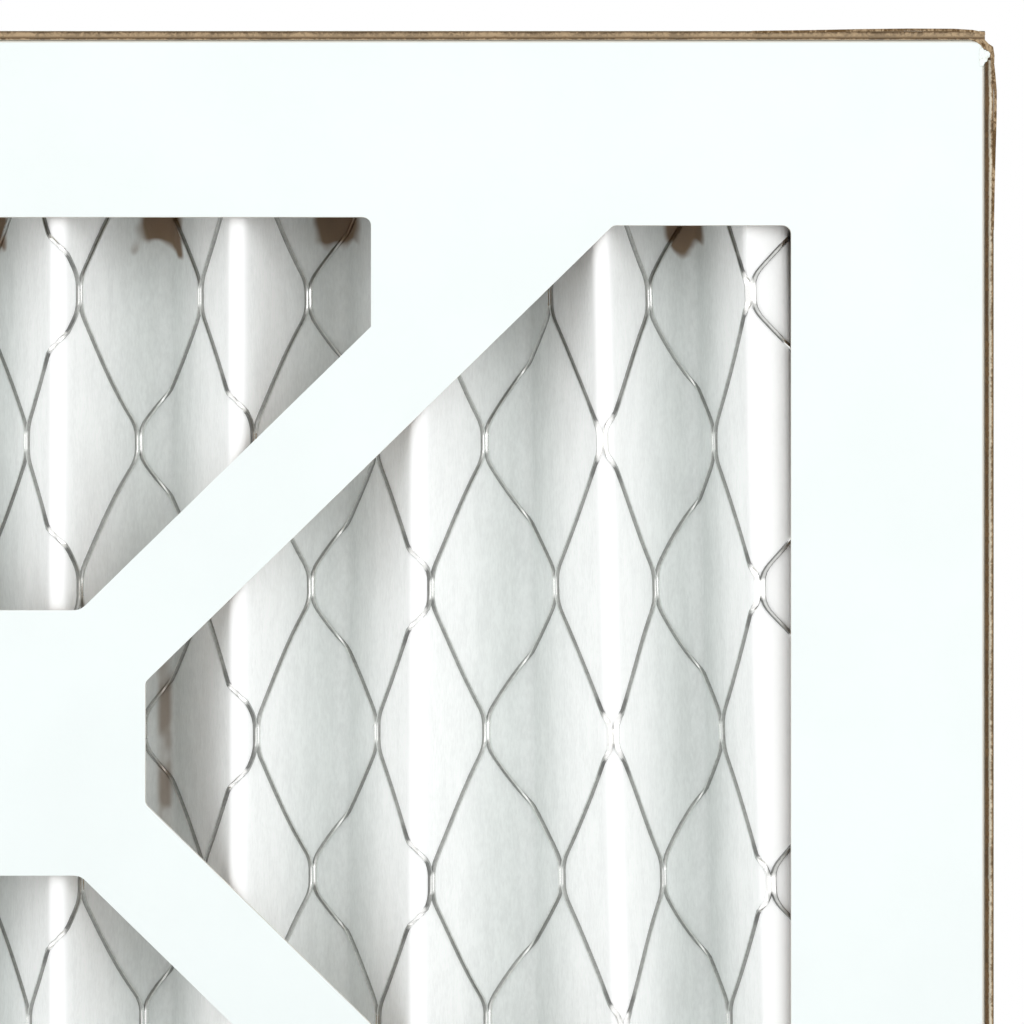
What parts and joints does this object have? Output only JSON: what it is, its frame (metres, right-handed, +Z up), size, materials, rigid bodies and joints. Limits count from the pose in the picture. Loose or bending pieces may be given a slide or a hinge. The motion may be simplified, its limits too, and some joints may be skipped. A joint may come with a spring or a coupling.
{
  "type": "pleated panel air filter",
  "caption": "Disposable pleated panel air filter: white nonwoven V pleats backed with expanded metal in a die-cut paperboard frame with a centre bar and diagonal straps.",
  "frame": {"origin": "on the surface it stands on, under the middle of the panel: centre of the bottom edge's footprint", "axes": "+X across the width, to the right seen from the front; +Y from the front (mesh) side to the rear; +Z up the height"},
  "size_m": [0.2476, 0.019, 0.1461],
  "materials": {
    "white_board": "matte clay-coated white outside, brown kraft at the cut edges and inside",
    "nonwoven": "fine fluffy white polyester nonwoven",
    "expanded_metal": "thin bright expanded metal, slightly dulled",
    "hot_melt": "set adhesive bead"
  },
  "bodies": {
    "root": {"front_frame": "white_board", "rear_frame": "white_board", "pleated_media": "nonwoven", "support_mesh": "expanded_metal", "edge_sealant": "hot_melt"}
  },
  "joints": []
}
